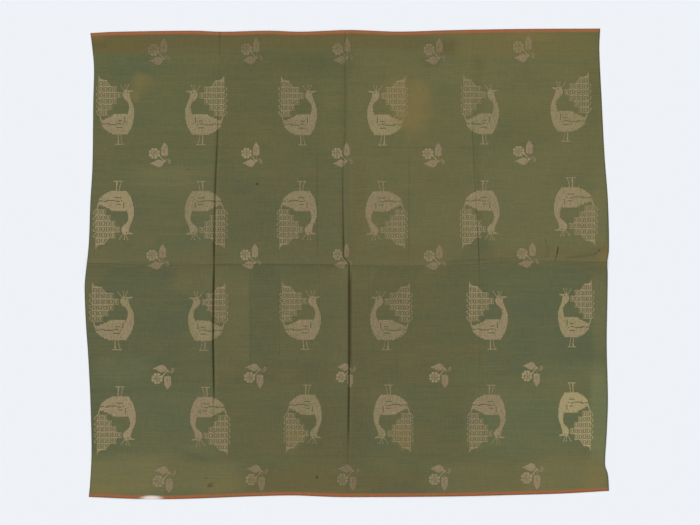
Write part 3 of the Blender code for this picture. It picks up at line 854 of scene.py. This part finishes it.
class Finish:
    """A material being made, with short calls for its nodes."""

    def __init__(self, name):
        self.material = bpy.data.materials.new(name)
        self.material.use_nodes = True
        self.tree = self.material.node_tree
        self.shader = self.tree.nodes["Principled BSDF"]
        self.place = self.tree.nodes.new("ShaderNodeTexCoord").outputs["Object"]

    def feed(self, socket, value):
        if isinstance(value, bpy.types.NodeSocket):
            self.tree.links.new(value, socket)
        elif socket.type == "RGBA":
            socket.default_value = (*value, 1)
        else:
            socket.default_value = value

    def finished(self, settings):
        """Feeds the shader's sockets by name, and hands over the material."""
        for name, value in settings.items():
            self.feed(self.shader.inputs[name], value)
        return self.material

    def node(self, kind, *values, **settings):
        made = self.tree.nodes.new("ShaderNode" + kind)
        for name, value in settings.items():
            setattr(made, name, value)
        for socket, value in zip(made.inputs, values):
            if value is not None:
                self.feed(socket, value)
        return made

    def sum(self, operation, *values, clamp=False):
        return self.node("Math", *values, operation=operation, use_clamp=clamp).outputs[0]

    def noise(self, place, scale, detail=2.0, roughness=0.5):
        made = self.node("TexNoise", place)
        for name, value in (("Scale", scale), ("Detail", detail), ("Roughness", roughness)):
            self.feed(made.inputs[name], value)
        return made.outputs[0]

    def streaks(self, across, up, detail=2.0, roughness=0.5):
        """Noise with its own scale along each axis."""
        made = self.node("Mapping", self.place)
        made.inputs["Scale"].default_value = (across, up, 1.0)
        return self.noise(made.outputs[0], 1, detail, roughness)

    def threads(self, direction, scale):
        """Even ridges, wavering a little."""
        made = self.node("TexWave", wave_type="BANDS", bands_direction=direction)
        for name, value in (("Vector", self.place), ("Scale", scale), ("Distortion", 0.6)):
            self.feed(made.inputs[name], value)
        return made.outputs["Fac"]

    def relief(self, height, distance, strength):
        made = self.node("Bump")
        for name, value in (("Strength", strength), ("Distance", distance), ("Height", height)):
            self.feed(made.inputs[name], value)
        return made.outputs["Normal"]

    def stored(self, name):
        return self.node("Attribute", attribute_name=name).outputs["Fac"]

    def ramp(self, value, low, high, to_low=0.0, to_high=1.0):
        """value from low to high, eased to another range."""
        made = self.node("MapRange", value, low, high, to_low, to_high, interpolation_type="SMOOTHSTEP")
        return made.outputs[0]

    def blend(self, share, first, second):
        made = self.node("Mix", data_type="RGBA")
        for socket, value in ((0, share), (6, first), (7, second)):
            self.feed(made.inputs[socket], value)
        return made.outputs[2]

    def shaded(self, colour, factor):
        """A colour made lighter or darker by a factor."""
        made = self.node("VectorMath", colour, operation="SCALE")
        self.feed(made.inputs["Scale"], factor)
        return made.outputs[0]

    def varied(self, value, textures, limited=True):
        """A value with textures added about their means, each with its weight."""
        for texture, weight in textures:
            value = self.sum("ADD", value, self.sum("MULTIPLY_ADD", texture, weight, -weight / 2))
        return self.sum("ADD", value, 0.0, clamp=True) if limited else value

    def strongest(self, values):
        most, *others = values
        for value in others:
            most = self.sum("MAXIMUM", most, value)
        return most

    def spot(self, mark, ragged):
        """How much of a stain lies here, with a ragged edge."""
        made = self.node("Mapping", self.place)
        made.inputs["Location"].default_value = (-mark.x / mark.half_length, -mark.y / mark.half_height, 0)
        made.inputs["Scale"].default_value = (1 / mark.half_length, 1 / mark.half_height, 0)
        away = self.node("VectorMath", made.outputs[0], operation="LENGTH").outputs["Value"]
        return self.ramp(self.sum("ADD", away, ragged), 0.30, 1.30, mark.dye, 0.0)

    def crease(self, run):
        """How much of a fine crease's painted shade lies here."""
        dx, dy = run.x1 - run.x0, run.y1 - run.y0
        length = (dx * dx + dy * dy) ** 0.5
        turned = self.node("Mapping", self.place, vector_type="TEXTURE")
        turned.inputs["Location"].default_value = (run.x0, run.y0, 0)
        turned.inputs["Rotation"].default_value = (0, 0, np.arctan2(dy, dx))
        apart = self.node("SeparateXYZ", turned.outputs[0])
        across = self.sum("ABSOLUTE", apart.outputs["Y"])
        mid = self.sum("ABSOLUTE", self.sum("SUBTRACT", apart.outputs["X"], length / 2))
        on = self.ramp(across, 0.2 * run.half_width, 1.4 * run.half_width, run.soil, 0.0)
        return self.sum("MULTIPLY", on, self.ramp(mid, 0.35 * length, 0.52 * length, 1.0, 0.0))


def aged(finish, colour, colours, dye=1.0):
    """A silk's colour with the cloth's stains and dark spots on it, and painted shade along its folds and
    fine creases.
    """
    ragged = finish.sum("MULTIPLY_ADD", finish.noise(finish.place, 70, 3, 0.6), 1.1, -0.55)
    stains = finish.strongest([finish.spot(mark, ragged) for mark in OCHRE_STAINS])
    colour = finish.blend(finish.sum("MULTIPLY", stains, dye), colour, colours.ochre)
    small_ragged = finish.sum("MULTIPLY_ADD", finish.noise(finish.place, 420, 2, 0.6), 0.8, -0.4)
    dark = finish.strongest([finish.spot(mark, small_ragged) for mark in DARK_SPOTS])
    lines = finish.strongest([finish.crease(run) for run in FINE_CREASES])
    uneven = finish.ramp(finish.streaks(260, 60), 0.25, 0.6, 0.75, 1.0)
    folds = finish.sum("MULTIPLY", finish.stored("soil"), uneven)
    # The dark spots, and the painted shade of the fine creases and folds, in one dark colour
    return finish.blend(finish.strongest([dark, lines, folds]), colour, colours.soil), lines


def selvedge_silk(finish, colours, edge, weft_streaks):
    """Orange silk, faded in places, with rust outer threads."""
    fading = finish.ramp(finish.streaks(16, 5, 3, 0.6), 0.35, 0.75, 0.0, 0.35)
    orange = finish.blend(fading, colours.orange, colours.ochre)
    orange = finish.blend(finish.ramp(edge, 0.0, 0.0026, 0.9, 0.0), orange, colours.rust)
    return finish.shaded(orange, finish.sum("MULTIPLY_ADD", weft_streaks, 0.5, 0.75))


def silk_ground(sizes, colours):
    """Shot silk: green and brown threads, uneven dye and streaky thread, with orange selvedges."""
    finish = Finish("green shot silk")
    warp_streaks = finish.streaks(22, 470, 3, 0.6)
    weft_streaks = finish.streaks(420, 34, 3, 0.6)
    short_streaks = finish.streaks(110, 560)
    mottle = finish.streaks(520, 640, 2, 0.6)
    clouds = finish.streaks(9, 15, 3, 0.55)
    wefts = finish.streaks(2, 120)

    browning = ((warp_streaks, 0.85), (weft_streaks, 0.5), (clouds, 1.15), (mottle, 0.6), (wefts, 0.45))
    share = finish.varied(finish.stored("brown"), browning)
    colour = finish.blend(share, colours.green, colours.brown)
    yellowing = ((clouds, 0.35), (warp_streaks, 0.45), (wefts, 0.35))
    colour = finish.blend(finish.varied(finish.stored("yellow"), yellowing), colour, colours.aged)

    up_cloth = finish.node("SeparateXYZ", finish.place).outputs["Y"]
    warmer = finish.node("VectorMath", colour, WARMTH, operation="MULTIPLY").outputs[0]
    colour = finish.blend(finish.ramp(up_cloth, 0.10, 0.30), colour, warmer)

    fading = (
        (warp_streaks, 0.34), (weft_streaks, 0.26), (short_streaks, 0.30), (mottle, 0.30), (clouds, 0.06),
        (wefts, 0.10),
    )  # fmt: skip
    colour = finish.shaded(colour, finish.varied(finish.stored("light"), fading, limited=False))
    glints = finish.ramp(finish.streaks(560, 500, 2, 0.6), 0.40, 0.75, 0.0, 0.055)
    colour = finish.blend(glints, colour, GROUND_GLINT)

    wander = finish.sum("MULTIPLY_ADD", finish.streaks(60, 900, 3, 0.6), 0.0030, -0.0015)
    edge = finish.sum("ADD", finish.stored("from_selvedge"), wander)
    in_selvedge = finish.ramp(edge, 0.80 * sizes.selvedge, 1.25 * sizes.selvedge, 1.0, 0.0)
    colour = finish.blend(in_selvedge, colour, selvedge_silk(finish, colours, edge, weft_streaks))
    colour = finish.blend(finish.spot(BLEACHED_SPOT, 0.0), colour, BLEACH)

    colour, lines = aged(finish, colour, colours)
    # Painted shade: a dark line along the cut ends, where the rim dips down
    at_end = finish.ramp(finish.stored("from_end"), 0.0005, 0.0028, 0.72, 0.0)
    colour = finish.blend(at_end, colour, PAINTED_END_SHADE)

    weave = finish.sum("ADD", finish.threads("X", 420), finish.threads("Y", 480))
    slubs = finish.sum("ADD", warp_streaks, weft_streaks)
    height = finish.sum("MULTIPLY_ADD", lines, -6.0, finish.sum("MULTIPLY_ADD", slubs, 2.2, weave))
    return finish.finished({
        "Base Color": colour,
        "Normal": finish.relief(height, 0.00009, 0.55),
        "Roughness": finish.sum("MULTIPLY_ADD", warp_streaks, 0.22, 0.46),
        "Specular IOR Level": SILK_SPECULAR,
        "Sheen Weight": SILK_SHEEN,
        "Sheen Roughness": 0.45,
        "Sheen Tint": (0.95, 0.72, 0.42),
    })  # fmt: skip


def gold_floats(colours, pinker=0.0):
    """The figures' brocading silk: floats that run up the cloth, bound at intervals, some faded."""
    finish = Finish("gold float silk")
    floats = finish.streaks(560, 75, 3, 0.6)
    long_floats = finish.streaks(190, 8)
    bindings = finish.streaks(380, 430)
    fading = finish.noise(finish.place, 9)
    fine_fading = finish.streaks(34, 22)

    faded = finish.sum("ADD", fading, finish.sum("MULTIPLY_ADD", fine_fading, 0.5, pinker - 0.25))
    colour = finish.blend(finish.ramp(faded, 0.35, 0.65), colours.gold, colours.rose)
    pale = finish.varied(finish.stored("pale"), ((fine_fading, 0.5), (bindings, 0.4)))
    colour = finish.blend(pale, colour, colours.cream)
    colour = finish.blend(finish.sum("MULTIPLY", finish.stored("yellow"), 0.8), colour, colours.ochre)
    gaps = finish.ramp(floats, 0.34, 0.50, 0.45, 0.0)
    gaps = finish.sum("MAXIMUM", gaps, finish.ramp(bindings, 0.34, 0.46, 0.60, 0.0))
    ground = finish.blend(finish.stored("brown"), colours.green, colours.brown)
    colour = finish.blend(gaps, colour, finish.blend(0.55, ground, finish.shaded(colour, 0.55)))
    glints = finish.ramp(finish.streaks(540, 430, 2, 0.6), 0.40, 0.72, 0.0, 0.12)
    colour = finish.blend(glints, colour, FLOAT_GLINT)
    toning = ((floats, 0.22), (bindings, 0.36), (long_floats, 0.10), (fine_fading, 0.16))
    light = finish.varied(finish.stored("tone"), toning, limited=False)
    colour, _ = aged(finish, finish.shaded(colour, light), colours, 0.9)

    height = finish.sum("MULTIPLY_ADD", gaps, -1.5, finish.sum("MULTIPLY", floats, 3.0))
    return finish.finished({
        "Base Color": colour,
        "Normal": finish.relief(height, 0.00012, 0.5),
        "Roughness": finish.sum("MULTIPLY_ADD", floats, 0.2, 0.36),
        "Specular IOR Level": SILK_SPECULAR,
        "Sheen Weight": SILK_SHEEN,
        "Sheen Tint": (1.0, 0.85, 0.6),
    })  # fmt: skip


def pale_floor(stage):
    finish = Finish("pale floor")
    return finish.finished({"Base Color": stage.floor, "Roughness": 0.9, "Specular IOR Level": 0.1})


# --- The pieces ---


def edge_distances(sizes, x, y):
    """(from the nearer selvedge edge, from the nearer end) at points."""
    left, right, bottom, top = edge_lines(sizes, x, y)
    return np.minimum(top - y, y - bottom), np.minimum(x - left, right - x)


def cloth_top(sizes, x, y):
    """Height of the cloth's face: a little thicker at the selvedges, and thinning to its rims."""
    from_selvedge, from_end = edge_distances(sizes, x, y)
    cord = 0.00016 * (1 - smooth_step(from_selvedge, 0.8 * sizes.selvedge, 1.3 * sizes.selvedge))
    rim = 0.00045 * (1 - smooth_step(np.minimum(from_selvedge, from_end), 0, 0.0020))
    return lift(x, y) + sizes.thickness + cord - rim


def lay_cloth(sizes, colours):
    """The silk itself, from one grid: each point moved to its place, then the sheet closed."""
    x, y = lattice(sizes)
    rows, columns = x.shape
    cloth = square_grid("silk_cloth", columns - 1, rows - 1)
    places = points_of(cloth.data)
    column = np.rint((places[:, 0] + 0.5) * (columns - 1)).astype(int)
    row = np.rint((places[:, 1] + 0.5) * (rows - 1)).astype(int)
    places[:, 0], places[:, 1], places[:, 2] = x[row, column], y[row, column], 0
    set_points(cloth.data, places)
    extrude_up(cloth, sizes.thickness)

    places = points_of(cloth.data)
    px, py = places[:, 0], places[:, 1]
    on_face = places[:, 2] > sizes.thickness / 2
    places[:, 2] = np.where(on_face, cloth_top(sizes, px, py), lift(px, py))
    set_points(cloth.data, places)

    write_tones_and_shade(cloth.data)
    from_selvedge, from_end = edge_distances(sizes, px, py)
    write_attribute(cloth.data, "from_selvedge", from_selvedge)
    write_attribute(cloth.data, "from_end", from_end)
    map_cloth(cloth.data)
    cloth.data.materials.append(silk_ground(sizes, colours))
    make_active(cloth)
    bpy.ops.object.shade_smooth_by_angle(angle=1.0)
    return cloth


def map_cloth(mesh):
    """Most of the map goes to the face, a strip of it to the back, and a thin band to the rim."""
    point, normal = corner_facts(mesh)
    places = points_of(mesh)
    low, span = places.min(axis=0), np.ptp(places, axis=0)
    u = 0.01 + 0.98 * (places[point, 0] - low[0]) / span[0]
    v = (places[point, 1] - low[1]) / span[1]
    up, down = normal[:, 2] > 0.3, normal[:, 2] < -0.3
    height = places[point, 2] > 0.0004
    side_v = 0.212 + 0.012 * height + 0.016 * (normal[:, 1] > 0.5) + 0.032 * (np.abs(normal[:, 0]) > 0.5)
    side_u = np.where(np.abs(normal[:, 0]) > 0.5, 0.01 + 0.48 * v + 0.5 * (normal[:, 0] > 0), u)
    uu = np.where(up | down, u, side_u)
    vv = np.where(up, 0.27 + 0.72 * v, np.where(down, 0.01 + 0.19 * v, side_v))
    write_map(mesh, np.stack([uu, vv], axis=1))


def without_loose_corners(drawn):
    """Fills one cell wherever two cells of a chart meet only at a corner, so that threads join."""
    drawn = drawn.copy()
    for _ in range(6):
        a, b = drawn[:-1, :-1], drawn[1:, 1:]
        c, d = drawn[:-1, 1:], drawn[1:, :-1]
        rising, falling = a & b & ~c & ~d, c & d & ~a & ~b
        if not (rising.any() or falling.any()):
            break
        drawn[:-1, 1:] |= rising
        drawn[:-1, :-1] |= falling
    return drawn


def cut_figure(name, chart, pale, width, height, sizes, shade=None):
    """A figure as a thin closed piece: a grid of one cell to each chart step, cut out and raised."""
    step = sizes.chart_step
    columns, rows = round(width / step), round(height / step)
    x = (np.arange(columns) + 0.5) * step - width / 2
    y = (np.arange(rows) + 0.5) * step - height / 2
    drawn = without_loose_corners(chart(*np.meshgrid(1000 * x, 1000 * y)))

    figure = square_grid(name, columns, rows)
    figure.scale = (width, height, 1)
    bpy.ops.object.transform_apply(location=True, rotation=True, scale=True)
    bpy.ops.object.mode_set(mode="EDIT")
    bpy.ops.mesh.select_mode(type="FACE")
    bpy.ops.mesh.select_all(action="DESELECT")
    sheet = bmesh.from_edit_mesh(figure.data)
    for face in sheet.faces:
        middle = face.calc_center_median()
        column = int((middle.x + width / 2) / step)
        row = int((middle.y + height / 2) / step)
        face.select_set(not drawn[row, column])
    bmesh.update_edit_mesh(figure.data)
    bpy.ops.mesh.delete(type="FACE")
    bpy.ops.object.mode_set(mode="OBJECT")
    extrude_up(figure, sizes.float_height)
    crown_figure(figure, sizes)
    x, y, _ = 1000 * points_of(figure.data).T
    write_attribute(figure.data, "pale", pale(x, y))
    write_attribute(figure.data, "tone", shade(x, y) if shade else np.ones_like(x))
    return figure


def crown_figure(figure, sizes):
    """Lowers the rim of the raised side, so that the floats round off at the figure's outline."""
    sheet = bmesh.new()
    sheet.from_mesh(figure.data)
    middle = sizes.float_height / 2
    for point in sheet.verts:
        raised = point.co.z > middle
        inner = raised and all(face.normal.z > 0.5 for face in point.link_faces)
        point.co.z = sizes.float_height * (1.0 if inner else 0.55) if raised else -0.00015
    sheet.to_mesh(figure.data)
    sheet.free()


def place_copy(figure, name, middle, across, up):
    """A copy with its own mesh, at its place on the cloth; a negative across or up turns it over."""
    copy = figure.copy()
    copy.data = figure.data.copy()
    copy.name = copy.data.name = name
    bpy.context.scene.collection.objects.link(copy)
    places = points_of(copy.data)
    places[:, 0] = middle[0] + places[:, 0] * across
    places[:, 1] = middle[1] + places[:, 1] * up
    set_points(copy.data, places)
    if across * up < 0:
        copy.data.flip_normals()
    return copy


def map_figure(mesh, middle, size, tile):
    """Maps a figure into its tile: most of it for the face, and a strip at the foot for the back."""
    point, normal = corner_facts(mesh)
    places = points_of(mesh)[point]
    outward = normal[:, :2] * (0.0003 * (places[:, 2] < 0))[:, None] * (np.abs(normal[:, 2:]) < 0.5)
    flat = (places[:, :2] + outward - np.array(middle)) / (np.array(size) * 1.04) + 0.5
    back = normal[:, 2] < -0.5
    flat[:, 1] = np.where(back, 0.14 * flat[:, 1], 0.17 + 0.83 * flat[:, 1])
    column, row = tile % MAP_TILES[0], tile // MAP_TILES[0]
    margin = 0.004
    cell = np.array([1 / MAP_TILES[0], 1 / MAP_TILES[1]])
    corner = np.array([column, row]) * cell
    write_map(mesh, corner + margin + flat * (cell - 2 * margin))


def weave_row(figure, name, row, size, in_pairs, sizes, finish):
    """One row of figures, joined as one piece on the cloth's face; in pairs, they face each other."""
    copies = []
    for n, (x, y, wide, tone) in enumerate(row.places):
        across = -wide if in_pairs and n % 2 else wide
        up = row.high if row.upright else -row.high
        copy = place_copy(figure, f"{name}_{n + 1}", (x, y), across, up)
        map_figure(copy.data, (x, y), (wide * size[0], row.high * size[1]), n)
        write_attribute(copy.data, "tone", tone * read_attribute(copy.data, "tone"))
        copies.append(copy)
    deselect_everything()
    for copy in copies:
        copy.select_set(True)
    bpy.context.view_layer.objects.active = copies[0]
    bpy.ops.object.join()
    piece = bpy.context.active_object
    piece.name = piece.data.name = name
    places = points_of(piece.data)
    places[:, 2] += cloth_top(sizes, places[:, 0], places[:, 1])
    set_points(piece.data, places)
    write_tones_and_shade(piece.data)
    piece.data.materials.append(finish)
    make_active(piece)
    bpy.ops.object.shade_smooth_by_angle(angle=0.9)
    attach(piece, BODY)
    return piece


def weave_figures(name, figure, size, figure_rows, in_pairs, sizes, finish):
    """Each row of figures as a piece of its own, after which the pattern they copy is put away."""
    for n, row in enumerate(figure_rows, 1):
        weave_row(figure, f"{name}_row_{n}", row, size, in_pairs, sizes, finish)
    bpy.data.objects.remove(figure)


# --- Operators ---


def scene_settings(context):
    scene = context.scene
    return scene.brocade_sizes, scene.brocade_colours, scene.brocade_stage


class BROCADE_OT_cloth(bpy.types.Operator):
    """Lay the silk, with its folds, selvedges and age"""

    bl_idname = "brocade.cloth"
    bl_label = "Lay the silk"

    def execute(self, context):
        sizes, colours, _ = scene_settings(context)
        cloth = lay_cloth(sizes, colours)
        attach(cloth, BODY)
        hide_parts(SOLID)
        return {"FINISHED"}


class BROCADE_OT_peacocks(bpy.types.Operator):
    """Weave the rows of gold peacocks"""

    bl_idname = "brocade.peacocks"
    bl_label = "Weave the peacocks"

    width: length_property("Width", "Of one peacock's chart", 0.0817)
    height: length_property("Height", "Of one peacock's chart", 0.1444)

    def execute(self, context):
        sizes, colours, _ = scene_settings(context)
        finish = gold_floats(colours)
        size = (self.width, self.height)
        figure = cut_figure("peacock", peacock, peacock_pale, *size, sizes, peacock_shade)
        weave_figures("peacocks", figure, size, PEACOCK_ROWS, True, sizes, finish)
        return {"FINISHED"}


class BROCADE_OT_sprigs(bpy.types.Operator):
    """Weave the rows of flower sprigs between the peacocks"""

    bl_idname = "brocade.sprigs"
    bl_label = "Weave the sprigs"

    width: length_property("Width", "Of one sprig's chart", 0.0475)
    height: length_property("Height", "Of one sprig's chart", 0.0532)

    def execute(self, context):
        sizes, colours, _ = scene_settings(context)
        finish = gold_floats(colours, pinker=0.25)
        size = (self.width, self.height)
        figure = cut_figure("sprig", sprig, sprig_pale, *size, sizes)
        weave_figures("sprigs", figure, size, SPRIG_ROWS, False, sizes, finish)
        return {"FINISHED"}


class BROCADE_OT_stage(bpy.types.Operator):
    """Set the pale floor, the soft light and the camera"""

    bl_idname = "brocade.stage"
    bl_label = "Set the stage"

    floor_side: length_property("Floor side", "Side of the floor", 14.0)
    off_centre: FloatVectorProperty(
        name="Off centre", description="Where the camera looks, from the cloth's middle",
        default=(0.0061, 0.0025), size=2,
    )  # fmt: skip

    def execute(self, context):
        _, _, stage = scene_settings(context)
        deselect_everything()
        bpy.ops.mesh.primitive_plane_add(size=self.floor_side, location=(0, 0, -0.0002))
        floor = context.active_object
        floor.name = "floor"
        floor.data.materials.append(pale_floor(stage))

        bpy.ops.object.light_add(type="SUN", rotation=(-0.62, -0.50, 0))
        softbox = context.active_object
        softbox.name = "wide softbox"
        softbox.data.energy = stage.softbox_power
        softbox.data.angle = 0.9
        softbox.data.color = (1.0, 0.985, 0.96)

        world = bpy.data.worlds.new("even light")
        context.scene.world = world
        world.use_nodes = True
        sky = world.node_tree.nodes["Background"]
        sky.inputs["Color"].default_value = (0.97, 0.985, 1.0, 1)
        sky.inputs["Strength"].default_value = stage.sky

        bpy.ops.object.camera_add(location=(*self.off_centre, stage.camera_height), rotation=(0, 0, 0))
        camera = context.active_object
        camera.name = "camera"
        camera.data.lens = camera.data.sensor_width * stage.camera_height / stage.picture_length
        camera.data.clip_end = 100
        context.scene.camera = camera
        context.scene.view_settings.view_transform = "Standard"
        return {"FINISHED"}


class BROCADE_PT_panel(bpy.types.Panel):
    bl_label = "Brocade Panel"
    bl_idname = "BROCADE_PT_panel"
    bl_space_type = "VIEW_3D"
    bl_region_type = "UI"
    bl_category = "Brocade"

    def draw(self, context):
        for settings in scene_settings(context):
            box = self.layout.box()
            for name in settings.__annotations__:
                box.prop(settings, name)
        for operator in OPERATORS:
            self.layout.operator(operator.bl_idname)


OPERATORS = (BROCADE_OT_cloth, BROCADE_OT_peacocks, BROCADE_OT_sprigs, BROCADE_OT_stage)
CLASSES = (BrocadeSizes, BrocadeColours, BrocadeStage, *OPERATORS, BROCADE_PT_panel)


def register():
    for one in CLASSES:
        bpy.utils.register_class(one)
    bpy.types.Scene.brocade_sizes = PointerProperty(type=BrocadeSizes)
    bpy.types.Scene.brocade_colours = PointerProperty(type=BrocadeColours)
    bpy.types.Scene.brocade_stage = PointerProperty(type=BrocadeStage)


def unregister():
    del bpy.types.Scene.brocade_stage
    del bpy.types.Scene.brocade_colours
    del bpy.types.Scene.brocade_sizes
    for one in reversed(CLASSES):
        bpy.utils.unregister_class(one)


def main():
    register()
    for operator in OPERATORS:
        group, name = operator.bl_idname.split(".")
        getattr(getattr(bpy.ops, group), name)()


if __name__ == "__main__":
    main()
